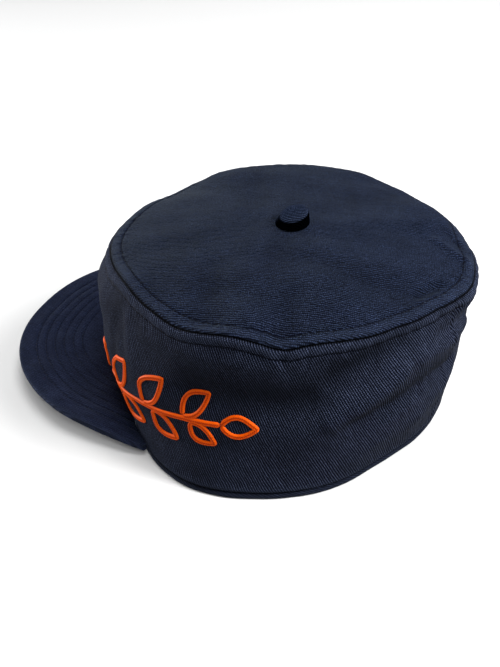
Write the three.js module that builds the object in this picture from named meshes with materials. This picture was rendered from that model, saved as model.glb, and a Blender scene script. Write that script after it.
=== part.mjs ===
// A soft twill pillbox cap with a stiff front peak, lying on its hem as it does on a table.
// Millimetres, +Z up, peak towards -Y, the wearer's left towards +X.
// Angles are in degrees about the crown's axis, from the front (-Y) towards the wearer's left (+X).
import * as THREE from 'three';

// Cloth and the small gap between sewn pieces.
const CLOTH = 2.0;
const GAP = 0.3;
const STEPS_AROUND = 90;

// The crown's side band, a row every 20 degrees, alike on both sides: outer radius at the hem,
// halfway up and at the seam with the disc, and the seam's height above the table.
const SECTIONS = [
  { deg: 0, hem: 80.5, middle: 98.4, seam: 90.5, height: 88.4 },
  { deg: 20, hem: 82.5, middle: 98.4, seam: 90.4, height: 88.2 },
  { deg: 40, hem: 87.6, middle: 98.9, seam: 88.8, height: 87.7 },
  { deg: 60, hem: 96.6, middle: 96.9, seam: 88.1, height: 87.0 },
  { deg: 80, hem: 103.2, middle: 95.0, seam: 87.9, height: 86.1 },
  { deg: 100, hem: 99.8, middle: 93.5, seam: 88.0, height: 85.2 },
  { deg: 120, hem: 95.0, middle: 92.9, seam: 88.4, height: 84.3 },
  { deg: 140, hem: 87.2, middle: 93.2, seam: 89.0, height: 83.6 },
  { deg: 160, hem: 86.8, middle: 93.2, seam: 89.3, height: 83.2 },
  { deg: 180, hem: 87.2, middle: 92.0, seam: 89.4, height: 83.0 },
];
const SECTION_STEP = 20;
const SEAM_LEVEL = 85.7; // the seam's mean height
const LEAN = 3.2; // the seam's ring sits this much further back than the hem's

// Both sides of the seam puff out between the seam and their row of topstitching.
const STITCH_INSET = 6.0;
const PUFF_FULLNESS = 0.8; // a power under 1, which makes the puff blunt
const SIDE_PUFF = 1.6;
const DISC_PUFF = 1.7;
const STITCH_DEPTH = 0.6;
const STITCH_HALF_WIDTH = 1.3;

// Waves of the seam's edge: where, how wide, how far up, and how far out. They fade out down the
// side band, below a share of its height, and towards the middle of the disc, by a power.
const WAVES_FROM = 0.6;
const WAVES_INWARD_POWER = 8;
const WAVES = [
  { deg: 20, width: 14, rise: 0.0, out: 1.4 },
  { deg: 47, width: 9, rise: 2.4, out: 0.0 },
  { deg: 74, width: 8, rise: -1.6, out: 0.6 },
  { deg: 92, width: 7, rise: 1.6, out: -0.3 },
  { deg: 107, width: 5, rise: -2.0, out: 0.8 },
  { deg: 121, width: 9, rise: 0.7, out: 0.0 },
  { deg: 178, width: 9, rise: 1.6, out: 0.8 },
  { deg: 233, width: 18, rise: -5.0, out: -1.2 },
  { deg: 247, width: 7, rise: -1.6, out: 0.0 },
  { deg: 272, width: 12, rise: -1.8, out: 0.7 },
  { deg: 300, width: 11, rise: 0.6, out: 0.0 },
  { deg: 338, width: 10, rise: -3.4, out: 0.5 },
];

// Folds of the side band, each along a straight line from one place to another on a band
// of the mean radius.
// Places are an angle and a height; out is how far the cloth stands out (or in, when negative).
const MEAN_RADIUS = 95;
const FOLDS = [
  { deg: 160, z: 55, toDeg: 131, toZ: 46, out: -2.6, width: 4.5 },
  { deg: 156, z: 75, toDeg: 117, toZ: 57, out: 1.6, width: 5.5 },
  { deg: 160, z: 44, toDeg: 138, toZ: 36, out: 1.1, width: 6.0 },
  { deg: 107, z: 78, toDeg: 109, toZ: 64, out: -1.5, width: 3.5 },
  { deg: 100, z: 70, toDeg: 92, toZ: 40, out: 0.9, width: 6.5 },
  { deg: 74, z: 76, toDeg: 80, toZ: 58, out: -1.2, width: 5.0 },
  { deg: 8, z: 72, toDeg: 34, toZ: 72, out: 3.0, width: 9.0 },
  { deg: 42, z: 72, toDeg: 40, toZ: 46, out: -1.6, width: 5.0 },
  { deg: 52, z: 74, toDeg: 56, toZ: 50, out: 1.1, width: 6.0 },
  { deg: 158, z: 75, toDeg: 190, toZ: 75, out: 3.4, width: 6.0 },
  { deg: 152, z: 66, toDeg: 186, toZ: 64, out: -1.6, width: 3.5 },
  { deg: 125, z: 26, toDeg: 96, toZ: 20, out: -1.0, width: 7.0 },
  { deg: 178, z: 66, toDeg: 172, toZ: 24, out: -0.9, width: 4.0 },
  { deg: 200, z: 60, toDeg: 228, toZ: 45, out: -2.0, width: 5.0 },
  { deg: 208, z: 70, toDeg: 240, toZ: 58, out: 1.4, width: 6.0 },
  { deg: 268, z: 76, toDeg: 262, toZ: 52, out: -1.5, width: 4.5 },
  { deg: 318, z: 78, toDeg: 312, toZ: 44, out: -1.3, width: 6.0 },
];

// The disc: how far its middle stands above the seam's plane, and its soft radial creases.
const DOME = 9.9;
const DOME_POWER = 2.4;
const CREST = SEAM_LEVEL + DOME;
const CREASE_FADE = 8; // over this distance a crease fades out past its ends and at the seam
const CREASES = [
  { deg: 128, inner: 22, outer: 62, up: -0.9, width: 5.0 },
  { deg: 66, inner: 26, outer: 64, up: -0.8, width: 6.0 },
  { deg: 96, inner: 24, outer: 74, up: 0.7, width: 7.0 },
  { deg: 24, inner: 20, outer: 60, up: -0.7, width: 5.5 },
  { deg: 158, inner: 30, outer: 76, up: 0.9, width: 6.0 },
  { deg: 205, inner: 34, outer: 80, up: 1.2, width: 6.0 },
  { deg: 222, inner: 30, outer: 78, up: -1.2, width: 5.0 },
  { deg: 262, inner: 30, outer: 80, up: 1.0, width: 7.0 },
  { deg: 312, inner: 30, outer: 82, up: -1.1, width: 6.0 },
];

// The hem, the sweatband that turns under it, and the covered button.
const HEM_HEIGHT = 3.6;
const ROLL_HEIGHT = 3.2;
const ROLL_PROUD = 0.3;
const ROLL_WIDTH = 4.2;
const ROLL_BEVEL = 0.9;
const BAND_HEIGHT = 32;
const BAND_THICKNESS = 1.3;
const BUTTON_RADIUS = 8.5;
const BUTTON_HEIGHT = 5.9;
const BUTTON_BACK = 1.6; // the button sits a little behind the middle
const BUTTON_STEPS = 28;

// The peak: its plan is half of a superellipse, and it runs into the hem at both ends.
const PEAK_HALF_WIDTH = 93.6;
const PEAK_BACK_Y = -32.0;
const PEAK_TIP_Y = -161.7;
const PEAK_POWER = 2.25;
const PEAK_THICKNESS = 3.6;
const PEAK_END_DEG = 61.5;
const PEAK_SEAT_Z = 5.4;
const PEAK_TIP_Z = 15.4;
const PEAK_SIDE_Z = 12.5;
const PEAK_CROWNING = 1.6;
const PEAK_END_FROM = 0.66; // from here on the outline turns in to the hem
const PEAK_END_OUT = 4.0;
const PEAK_STEPS = 44;
const PEAK_ROWS = [0, 0.12, 0.3, 0.5, 0.7, 0.86, 0.95];
const PEAK_BEVEL = { share: 0.985, half: 0.7 }; // the rim's rounding: shares of the way out and up

// Rows of points: on the side band, distances down from the seam outside and heights inside; on the
// disc, distances in from the seam, above and below.
const SIDE_ROWS = [72, 66, 58, 48, 38, 28, 19, 12, 7.8, 6.0, 4.2, 2.4, 0.9, 0];
const LINING_ROWS = [72, 60, 46, BAND_HEIGHT, BAND_HEIGHT / 2, HEM_HEIGHT];
const DISC_ROWS = [64, 48, 32, 20, 12, 7.8, 6.0, 4.2, 2.4, 0.9, 0];
const UNDERSIDE_ROWS = [8, 24, 48];
const BUTTON_ROWS = [
  { share: 0.36, z: 5.8 },
  { share: 0.72, z: 5.5 },
  { share: 0.93, z: 4.7 },
  { share: 1.0, z: 3.4 },
  { share: 1.0, z: 1.1 },
  { share: 0.86, z: 0.0 },
];

const navyTwill = new THREE.MeshStandardMaterial({ color: 0x232b3e, roughness: 0.9, metalness: 0 });
const navyDisc = new THREE.MeshStandardMaterial({ color: 0x28304a, roughness: 0.9, metalness: 0 });
const navyPeak = new THREE.MeshStandardMaterial({ color: 0x262d42, roughness: 0.88, metalness: 0 });
const navyBand = new THREE.MeshStandardMaterial({ color: 0x1d2435, roughness: 0.92, metalness: 0 });

const rad = (deg) => (deg * Math.PI) / 180;
const smooth = (t) => t * t * (3 - 2 * t);
const clamp01 = (t) => Math.min(1, Math.max(0, t));
const bell = (distance, width) => Math.exp(-((distance / width) ** 2));

/** The shorter way round from one angle to another, in degrees. */
function turn(from, to) {
  return ((((to - from) % 360) + 540) % 360) - 180;
}

/** A column of SECTIONS at any angle, on a smooth closed curve through its rows. */
function around(column, deg) {
  const last = SECTIONS.length - 1;
  const at = Math.abs(turn(0, deg)) / SECTION_STEP;
  const row = Math.min(last - 1, Math.floor(at));
  const t = at - row;
  const value = (i) => SECTIONS[i < 0 ? -i : i > last ? 2 * last - i : i][column];
  const [a, b, c, d] = [value(row - 1), value(row), value(row + 1), value(row + 2)];
  return b + 0.5 * t * (c - a + t * (2 * a - 5 * b + 4 * c - d + t * (3 * (b - c) + d - a)));
}

/** The sum of the waves at an angle, of one column. */
function waves(column, deg) {
  return WAVES.reduce((sum, wave) => sum + wave[column] * bell(turn(wave.deg, deg), wave.width), 0);
}

/** The seam's height above the table. */
function seamHeight(deg) {
  return around('height', deg) + waves('rise', deg);
}

/** How far a point of the side band stands out because of the folds. */
function folds(deg, z) {
  const perDegree = rad(MEAN_RADIUS);
  return FOLDS.reduce((sum, fold) => {
    const along = [turn(fold.deg, fold.toDeg) * perDegree, fold.toZ - fold.z];
    const here = [turn(fold.deg, deg) * perDegree, z - fold.z];
    const length = Math.hypot(...along);
    const t = clamp01((here[0] * along[0] + here[1] * along[1]) / length ** 2);
    const away = Math.hypot(here[0] - t * along[0], here[1] - t * along[1]);
    return sum + fold.out * bell(away, fold.width);
  }, 0);
}

/** The puff and stitch groove beside the seam, at a distance from it. */
function seamRelief(distance, puff) {
  const bulge = puff * Math.sin(Math.PI * clamp01(distance / STITCH_INSET)) ** PUFF_FULLNESS;
  return bulge - STITCH_DEPTH * bell(distance - STITCH_INSET, STITCH_HALF_WIDTH);
}

/** The side band's outer radius at an angle and height. */
function sideRadius(deg, z) {
  const top = seamHeight(deg);
  const s = z / top;
  const [hem, middle, seam] = ['hem', 'middle', 'seam'].map((column) => around(column, deg));
  const belly = middle - (hem + seam) / 2;
  const upper = smooth(clamp01((s - WAVES_FROM) / (1 - WAVES_FROM)));
  return (
    hem + (seam - hem) * s + belly * 4 * s * (1 - s)
    + seamRelief(top - z, SIDE_PUFF) + waves('out', deg) * upper + folds(deg, z)
  );
}

/** A point of the crown at an angle, radius and height, leaning back with the height. */
function crownPoint(deg, radius, z) {
  const back = (LEAN * z) / SEAM_LEVEL;
  return [radius * Math.sin(rad(deg)), back - radius * Math.cos(rad(deg)), z];
}

/** The disc's upper surface at an angle and a distance in from the seam. */
function discPoint(deg, inset) {
  const rim = sideRadius(deg, seamHeight(deg));
  const radius = rim - inset;
  const share = radius / rim;
  const tilt = around('height', deg) - SEAM_LEVEL;
  const creased = CREASES.reduce((sum, crease) => {
    const across = radius * rad(turn(crease.deg, deg));
    const beyond = Math.max(0, crease.inner - radius, radius - crease.outer);
    return sum + crease.up * bell(across, crease.width) * bell(beyond, CREASE_FADE)
      * clamp01(inset / CREASE_FADE);
  }, 0);
  const z = SEAM_LEVEL + tilt * share + waves('rise', deg) * share ** WAVES_INWARD_POWER
    + DOME * (1 - share ** DOME_POWER) + seamRelief(inset, DISC_PUFF) + creased;
  return { radius, z };
}

/** A closed body from rings of points: each ring is a closed outline, and so is the row of rings. */
function ringBody(rings) {
  const count = rings[0].length;
  const index = [];
  rings.forEach((ring, i) => {
    const here = i * count;
    const next = ((i + 1) % rings.length) * count;
    for (let j = 0; j < count; j += 1) {
      const k = (j + 1) % count;
      index.push(here + j, next + j, next + k, here + j, next + k, here + k);
    }
  });
  return geometry(rings.flat(), index);
}

/** A closed body from outlines in a row, with a flat end on the first and on the last. */
function cappedBody(outlines) {
  const count = outlines[0].length;
  const index = [];
  for (let i = 0; i + 1 < outlines.length; i += 1) {
    for (let j = 0; j < count; j += 1) {
      const k = (j + 1) % count;
      const here = i * count;
      const next = here + count;
      index.push(here + j, here + k, next + k, here + j, next + k, next + j);
    }
  }
  const end = (outlines.length - 1) * count;
  for (let j = 1; j + 1 < count; j += 1) {
    index.push(0, j + 1, j);
    index.push(end, end + j, end + j + 1);
  }
  return geometry(outlines.flat(), index);
}

/** A closed body from rings that shrink to a point at both ends. */
function poledBody(first, rings, last) {
  const count = rings[0].length;
  const points = [first, ...rings.flat(), last];
  const end = points.length - 1;
  const index = [];
  for (let j = 0; j < count; j += 1) {
    const k = (j + 1) % count;
    index.push(0, 1 + j, 1 + k);
    index.push(end, end - count + k, end - count + j);
    for (let i = 0; i + 1 < rings.length; i += 1) {
      const here = 1 + i * count;
      const next = here + count;
      index.push(here + j, next + j, next + k, here + j, next + k, here + k);
    }
  }
  return geometry(points, index);
}

function geometry(points, index) {
  const made = new THREE.BufferGeometry();
  made.setAttribute('position', new THREE.Float32BufferAttribute(points.flat(), 3));
  made.setIndex(index);
  made.computeVertexNormals();
  return made;
}

const angles = Array.from({ length: STEPS_AROUND }, (_, i) => (i * 360) / STEPS_AROUND);

/** The side band: up its outer face to the seam, and down its inner face to the hem. */
function crownSide() {
  return ringBody(angles.map((deg) => {
    const top = seamHeight(deg) - GAP / 2;
    const outer = (z) => crownPoint(deg, sideRadius(deg, z), z);
    const inner = (z) => crownPoint(deg, sideRadius(deg, z) - CLOTH, z);
    return [
      outer(HEM_HEIGHT),
      ...SIDE_ROWS.map((down) => outer(top - down)),
      inner(top),
      ...LINING_ROWS.map((z) => inner(z)),
    ];
  }));
}

/** The disc: from its middle out to the seam, and back under itself. */
function crownTop() {
  const ring = (inset, up) => angles.map((deg) => {
    const { radius, z } = discPoint(deg, inset);
    return crownPoint(deg, radius, z + up);
  });
  const edge = angles.map((deg) => {
    const z = seamHeight(deg);
    return crownPoint(deg, sideRadius(deg, z) - CLOTH, z + GAP / 2);
  });
  const above = DISC_ROWS.map((inset) => ring(inset, GAP / 2));
  const below = UNDERSIDE_ROWS.map((inset) => ring(inset, -CLOTH));
  return poledBody(crownPoint(0, 0, CREST), [...above, edge, ...below], crownPoint(0, 0, CREST - CLOTH));
}

/** The sweatband: a band inside the hem whose lower edge is rolled out under it. */
function sweatband() {
  return ringBody(angles.map((deg) => {
    const hem = sideRadius(deg, HEM_HEIGHT);
    const lining = (z) => Math.min(hem, sideRadius(deg, z)) - CLOTH - 2 * GAP;
    const profile = [
      [hem + ROLL_PROUD - ROLL_WIDTH, 0],
      [hem + ROLL_PROUD - ROLL_BEVEL, 0],
      [hem + ROLL_PROUD, ROLL_BEVEL],
      [hem + ROLL_PROUD, ROLL_HEIGHT - ROLL_BEVEL],
      [hem + ROLL_PROUD - ROLL_BEVEL, ROLL_HEIGHT],
      [lining(HEM_HEIGHT), ROLL_HEIGHT],
      [lining(BAND_HEIGHT / 2), BAND_HEIGHT / 2],
      [lining(BAND_HEIGHT), BAND_HEIGHT],
      [lining(BAND_HEIGHT) - BAND_THICKNESS, BAND_HEIGHT],
      [lining(BAND_HEIGHT / 2) - BAND_THICKNESS, BAND_HEIGHT / 2],
      [hem + ROLL_PROUD - ROLL_WIDTH, ROLL_HEIGHT],
    ];
    return profile.map(([radius, z]) => crownPoint(deg, radius, z));
  }));
}

/** The covered button, a low dome on the middle of the disc. */
function button() {
  const rings = BUTTON_ROWS.map(({ share, z }) => Array.from({ length: BUTTON_STEPS }, (_, i) => {
    const turned = (i * 2 * Math.PI) / BUTTON_STEPS;
    return [share * BUTTON_RADIUS * Math.sin(turned), -share * BUTTON_RADIUS * Math.cos(turned), z];
  }));
  return poledBody([0, 0, BUTTON_HEIGHT], rings, [0, 0, 0]);
}

/** Where the peak meets the side band at an angle: just clear of the cloth. */
function peakSeat(deg, out) {
  const half = PEAK_THICKNESS / 2;
  const clear = Math.max(sideRadius(deg, PEAK_SEAT_Z - half), sideRadius(deg, PEAK_SEAT_Z + half)) + GAP;
  return crownPoint(deg, clear + out, PEAK_SEAT_Z);
}

/** The peak's rim, from -1 at the wearer's right end to 1 at the left one. */
function peakRim(t) {
  const u = rad(90 * t);
  const bend = 2 / PEAK_POWER;
  const plan = [
    PEAK_HALF_WIDTH * Math.sign(u) * Math.abs(Math.sin(u)) ** bend,
    PEAK_BACK_Y + (PEAK_TIP_Y - PEAK_BACK_Y) * Math.abs(Math.cos(u)) ** bend,
    PEAK_SIDE_Z + (PEAK_TIP_Z - PEAK_SIDE_Z) * Math.cos(u) ** 2,
  ];
  const end = smooth(clamp01((Math.abs(t) - PEAK_END_FROM) / (1 - PEAK_END_FROM)));
  const corner = peakSeat(Math.sign(t) * PEAK_END_DEG, PEAK_END_OUT);
  return plan.map((value, axis) => value + (corner[axis] - value) * end);
}

/** The peak, in outlines from the wearer's right end to the left one. */
function peak() {
  const half = PEAK_THICKNESS / 2;
  const sections = Array.from({ length: PEAK_STEPS + 1 }, (_, i) => (2 * i) / PEAK_STEPS - 1);
  return cappedBody(sections.map((t) => {
    const seat = peakSeat(PEAK_END_DEG * t, 0);
    const rim = peakRim(t);
    const at = (share, by) => {
      const lift = PEAK_CROWNING * 4 * share * (1 - share) * (1 - t * t);
      return seat.map((value, axis) => value + (rim[axis] - value) * share + (axis === 2 ? lift + by : 0));
    };
    return [
      ...PEAK_ROWS.map((share) => at(share, half)),
      at(PEAK_BEVEL.share, half * PEAK_BEVEL.half),
      at(1, 0),
      at(PEAK_BEVEL.share, -half * PEAK_BEVEL.half),
      ...PEAK_ROWS.toReversed().map((share) => at(share, -half)),
    ];
  }));
}

function piece(name, made, material) {
  const mesh = new THREE.Mesh(made, material);
  mesh.name = name;
  return mesh;
}

const cap = new THREE.Group();
cap.add(piece('crown_side', crownSide(), navyTwill));
cap.add(piece('crown_top', crownTop(), navyDisc));
cap.add(piece('sweatband', sweatband(), navyBand));
cap.add(piece('peak', peak(), navyPeak));

const covered = piece('button', button(), navyTwill);
const [, crestY, crestZ] = crownPoint(0, 0, CREST);
covered.position.set(0, crestY + BUTTON_BACK, crestZ + GAP);
cap.add(covered);

// The origin lies on the table under the middle of the cap's outline.
const outline = new THREE.Box3().setFromObject(cap);
cap.position.y = -outline.getCenter(new THREE.Vector3()).y;

export default cap;
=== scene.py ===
"""A navy twill pillbox cap with a front peak: cloth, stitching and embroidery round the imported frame."""
import math

import bpy
import numpy as np
from mathutils import Matrix, Vector
from mathutils.bvhtree import BVHTree


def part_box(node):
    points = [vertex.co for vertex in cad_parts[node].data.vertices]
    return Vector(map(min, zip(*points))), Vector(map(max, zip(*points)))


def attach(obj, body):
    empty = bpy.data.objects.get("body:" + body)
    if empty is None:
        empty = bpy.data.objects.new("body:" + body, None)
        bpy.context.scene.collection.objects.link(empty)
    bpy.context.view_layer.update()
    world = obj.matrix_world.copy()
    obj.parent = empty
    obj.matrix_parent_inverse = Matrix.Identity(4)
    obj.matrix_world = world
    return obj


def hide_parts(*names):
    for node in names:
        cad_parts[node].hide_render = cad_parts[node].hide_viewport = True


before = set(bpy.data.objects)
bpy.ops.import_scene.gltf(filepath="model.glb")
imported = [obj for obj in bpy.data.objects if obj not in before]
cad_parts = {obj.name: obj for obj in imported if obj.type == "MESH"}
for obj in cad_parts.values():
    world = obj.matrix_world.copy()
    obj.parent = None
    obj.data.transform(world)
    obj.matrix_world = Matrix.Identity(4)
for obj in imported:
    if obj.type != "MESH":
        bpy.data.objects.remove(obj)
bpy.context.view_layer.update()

# Lengths are millimetres until a mesh is made. Angles are degrees about the crown's axis, from the
# front (-Y) towards the wearer's left (+X).
MM = 0.001
CLOTH = 1.7
GAP = 0.3

# The side band, a value every 20 degrees from the front to the back, alike on both sides.
SECTION_STEP = 20
SECTIONS = {
    "hem": [80.5, 82.5, 87.6, 96.6, 103.2, 99.8, 95.0, 87.2, 86.8, 87.2],
    "middle": [98.4, 98.4, 98.9, 96.9, 95.0, 93.5, 92.9, 93.2, 93.2, 92.0],
    "seam": [90.5, 90.4, 88.8, 88.1, 87.9, 88.0, 88.4, 89.0, 89.3, 89.4],
    "height": [88.4, 88.2, 87.7, 87.0, 86.1, 85.2, 84.3, 83.6, 83.2, 83.0],
}
SEAM_LEVEL = 85.7
LEAN = 3.2
MEAN_RADIUS = 95
STITCH_INSET = 6.0
PUFF_FULLNESS = 0.8
SIDE_PUFF = 0.7  # beside the seam, up to its stitches
DISC_PUFF = 0.22
STITCH_DEPTH = 0.28
STITCH_HALF_WIDTH = 0.6
SEAM_ROUNDING = 0.8
SEAM_TUCK = 0.8  # the side band's edge lies this far under the disc's
DISC_TUCK = 0.35
DISC_ROUNDING = 0.6

# Waves of the seam, which fade out down the side band and in towards the disc's middle.
WAVES_FROM = 0.6
WAVES_INWARD_POWER = 8
WAVES = [
    # degrees, width in degrees, rise, out
    ( 20, 14,  0.0,  1.4),
    ( 47,  9,  2.4,  0.0),
    ( 74,  8, -1.6,  0.6),
    ( 92,  7,  1.6, -0.3),
    (107,  5, -2.0,  0.8),
    (121,  9,  0.7,  0.0),
    (172, 13, -0.6,  4.4),
    (187,  8,  0.8,  1.2),
    (233, 18, -5.0, -1.2),
    (247,  7, -1.6,  0.0),
    (272, 12, -1.8,  0.7),
    (300, 11,  0.6,  0.0),
    (338, 10, -3.4,  0.5),
]

# Folds of the side band, each along a line on it.
FOLDS = [
    # from degrees, from height, to degrees, to height, out, half width
    (166, 43, 155, 46, -3.0,  4.0),
    (149, 45, 128, 36, -3.2,  5.5),
    (174, 60, 149, 63,  2.2,  5.0),
    (142, 60, 121, 42,  2.8,  5.0),
    (156, 79, 146, 78, -1.4,  3.5),
    (164, 76, 158, 77, -1.6,  2.8),
    (140, 76, 122, 64, -3.2,  7.5),
    (113, 52,  80, 53, -3.4, 10.5),
    (170, 37, 152, 26,  1.2,  6.0),
    (148, 24, 130, 20,  0.8,  8.0),
    ( 50, 74,  52, 60, -0.9,  3.5),
    ( 62, 74, 108, 73,  1.2,  4.5),
    (107, 78, 109, 70, -1.2,  3.5),
    ( 64, 26, 112, 22, -1.0, 12.0),
    (  8, 72,  34, 72,  3.0,  9.0),
    ( 47, 70,  46, 48, -1.4,  4.5),
    ( 54, 74,  58, 50,  1.1,  6.0),
    ( 36, 62,  36, 30,  0.9,  6.0),
    (170, 76, 192, 77,  1.6,  5.0),
    (158, 68, 190, 65, -1.8,  5.0),
    (178, 66, 172, 24, -0.9,  4.0),
    (200, 60, 228, 45, -2.0,  5.0),
    (208, 70, 240, 58,  1.4,  6.0),
    (268, 76, 262, 52, -1.5,  4.5),
    (318, 78, 312, 44, -1.3,  6.0),
]

# The disc: its dome, and its edge, which is rolled down over the seam between two angles.
DOME = 9.9
DOME_POWER = 2.4
CREST = SEAM_LEVEL + DOME
ROLLED_FROM, ROLLED_TO, ROLLED_SOFT = 190, 334, 16
ROLLED_RISE = 4.5
ROLLED_WIDTH = 10
ROLLED_FADE = 26

# Creases of the disc, each along a line on it, which stop short of the rim.
CREASE_STOP = 3
CREASES = [
    # from degrees, from radius, to degrees, to radius, up, half width
    (104, 14,  99, 44, -0.6, 8.0),
    (126, 34, 150, 74, -0.9, 7.0),
    (110, 60, 106, 80, -0.8, 6.0),
    ( 66, 52,  82, 78, -0.8, 8.0),
    ( 84, 66,  98, 76,  0.5, 6.0),
    ( 24, 20,  34, 62, -0.4, 9.0),
    (150, 30, 166, 70,  0.5, 9.0),
    (205, 34, 214, 76,  0.4, 9.0),
    (240, 30, 228, 74, -0.5, 9.0),
    (318, 30, 300, 80, -0.4, 9.0),
    (192, 73, 182, 90,  1.5, 2.4),
    (197, 80, 188, 90, -1.0, 2.2),
    (155, 79, 164, 82, -1.5, 2.4),
]

# Painted light and shade of folds and creases: how much paler or darker at most, and for a millimetre out or in.
MOST_PAINTED_LIGHT, MOST_PAINTED_SHADE = 0.25, -0.5
SIDE_PAINTED_SHADING = 0.15
SIDE_PAINTED_SHADING_RISE = 6  # the upper side of a fold is the paler one
DISC_PAINTED_SHADING = 0.24
# Painted light on the strips between the seam and its rows of stitches.
SHOULDER_PAINTED_LIGHT = 0.25  # between the rows of stitches
# Painted light: the disc is made paler towards one angle.
DISC_PAINTED_LIGHT, DISC_PAINTED_LIGHT_TOWARDS = 0.17, 190  # the disc is paler towards one angle

HEM_HEIGHT = 3.6
HEM_ROUNDING = 0.35
BAND_RISE = 80  # of the side band, for rounding its edges
ROLL_HEIGHT = 3.2
ROLL_PROUD = 0.3
ROLL_WIDTH = 4.2
BAND_HEIGHT = 32
BAND_THICKNESS = 1.3

# The button: its outline from the middle of its top to the middle of its underside.
BUTTON_RADIUS = 8.5
BUTTON_PROFILE = [
    # share of the radius, height
    (0.02, 5.6), (0.2, 5.58), (0.4, 5.5), (0.58, 5.32), (0.71, 5.05), (0.8, 4.65), (0.85, 4.15), (0.88, 3.5),
    (0.9, 2.9), (0.93, 2.3), (0.97, 1.7), (1.01, 1.1), (1.02, 0.6), (1.0, 0.0), (0.5, 0.0), (0.2, 0.0), (0.02, 0.0),
]
BUTTON_BACK = 1.6
BUTTON_SLANT = (-0.2, 0.13)  # it leans to the wearer's left and to the front
BUTTON_RAISE = 0.8
BUTTON_SHIFT = (-0.4, 0.75)
BUTTON_DARK, BUTTON_DARKER, BUTTON_DARKER_TOWARDS = 0.68, 0.3, 118  # its wall lies in its own shade

PEAK_HALF_WIDTH = 93.6
PEAK_BACK_Y = -32.0
PEAK_TIP_Y = -161.7
PEAK_POWER = 2.25
PEAK_THICKNESS = 3.6
PEAK_END_DEG = 61.5
PEAK_SEAT_Z = 5.4
PEAK_TIP_Z = 15.4
PEAK_SIDE_Z = 12.5
PEAK_CROWNING = 1.6
PEAK_END_FROM = 0.66
PEAK_END_OUT = 2.4
PEAK_ROW_FIRST = 10.2
PEAK_ROW_STEP = 5.25
PEAK_ROW_COUNT = 6

BACK_SEAM = 163.0  # the side band is joined here, near the middle of the back

# The frame's origin is under the middle of the cap's outline, the crown's axis lies behind it.
AXIS_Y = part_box("peak")[0][1] / MM - PEAK_TIP_Y


def bell(distance, width):
    """1 at no distance, and fading to nothing."""
    return np.exp(-((distance / width) ** 2))


def smooth(t):
    """From 0 to 1 with a soft start and end."""
    t = np.clip(t, 0, 1)
    return t * t * (3 - 2 * t)


def turn(start, end):
    """From one angle to another the short way round."""
    return (end - start + 180) % 360 - 180


def around(column, deg):
    """A column of SECTIONS at any angle, on a smooth closed curve."""
    rows = np.array(SECTIONS[column], float)
    rows = np.concatenate([[rows[1]], rows, [rows[-2]]])
    at = np.abs(turn(0, np.asarray(deg, float))) / SECTION_STEP
    row = np.minimum(len(rows) - 4, np.floor(at)).astype(int)
    t = at - row
    a, b, c, d = rows[row], rows[row + 1], rows[row + 2], rows[row + 3]
    return b + 0.5 * t * (c - a + t * (2 * a - 5 * b + 4 * c - d + t * (3 * (b - c) + d - a)))


def wave_rise(deg):
    return sum(rise * bell(turn(at, deg), width) for at, width, rise, _ in WAVES)


def wave_out(deg):
    return sum(out * bell(turn(at, deg), width) for at, width, _, out in WAVES)


def seam_height(deg):
    return around("height", deg) + wave_rise(deg)


def folds(deg, z):
    """How far the folds push the side band out."""
    per_degree = math.radians(MEAN_RADIUS)
    total = 0.0
    for from_deg, from_z, to_deg, to_z, out, width in FOLDS:
        along = (turn(from_deg, to_deg) * per_degree, to_z - from_z)
        here = (turn(from_deg, deg) * per_degree, z - from_z)
        t = np.clip((here[0] * along[0] + here[1] * along[1]) / (along[0] ** 2 + along[1] ** 2), 0, 1)
        away = np.hypot(here[0] - t * along[0], here[1] - t * along[1])
        total = total + out * bell(away, width)
    return total


def painted_fold_shading(out, per_mm):
    """Painted light and shade of folds and creases: paler where the cloth stands out, darker where it is pushed in."""
    return np.clip(out * per_mm, MOST_PAINTED_SHADE, MOST_PAINTED_LIGHT)


def seam_relief(distance, puff):
    """The puff and the stitch groove beside the seam."""
    bulge = puff * np.sin(np.pi * np.clip(distance / STITCH_INSET, 0, 1)) ** PUFF_FULLNESS
    return bulge - STITCH_DEPTH * bell(distance - STITCH_INSET, STITCH_HALF_WIDTH)


def plain_radius(deg, z):
    """The side band's outer radius, as in the solid."""
    top = seam_height(deg)
    s = z / top
    hem, middle, seam = around("hem", deg), around("middle", deg), around("seam", deg)
    belly = middle - (hem + seam) / 2
    upper = smooth((s - WAVES_FROM) / (1 - WAVES_FROM))
    return (
        hem + (seam - hem) * s + belly * 4 * s * (1 - s)
        + seam_relief(top - z, SIDE_PUFF) + wave_out(deg) * upper + folds(deg, z)
    )


def swell(deg, along, seed, least, most, size):
    """Soft unevenness of cloth, closed round the crown: a sum of waves of given wavelengths in mm."""
    draw = np.random.default_rng(seed)
    total = 0.0
    for _ in range(14):
        wavelength = draw.uniform(least, most)
        heading = draw.uniform(0, math.pi)
        turns = round(2 * math.pi * MEAN_RADIUS * math.cos(heading) / wavelength)
        climb = 2 * math.pi * math.sin(heading) / wavelength
        phase = draw.uniform(0, 2 * math.pi)
        total = total + np.cos(turns * np.radians(deg) + climb * along + phase)
    return size * total / math.sqrt(14)


def puckers(deg, distance, seed, size):
    """Small gathers that run from the seam to its stitches."""
    draw = np.random.default_rng(seed)
    total = 0.0
    for _ in range(9):
        count = draw.integers(48, 120)
        total = total + np.cos(count * np.radians(deg) + draw.uniform(0, 2 * math.pi))
    gathered = 1 + 1.2 * bell(turn(160, deg), 13)
    return size * gathered * total / 3 * bell(distance - 0.8 * STITCH_INSET, 4.5)


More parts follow.
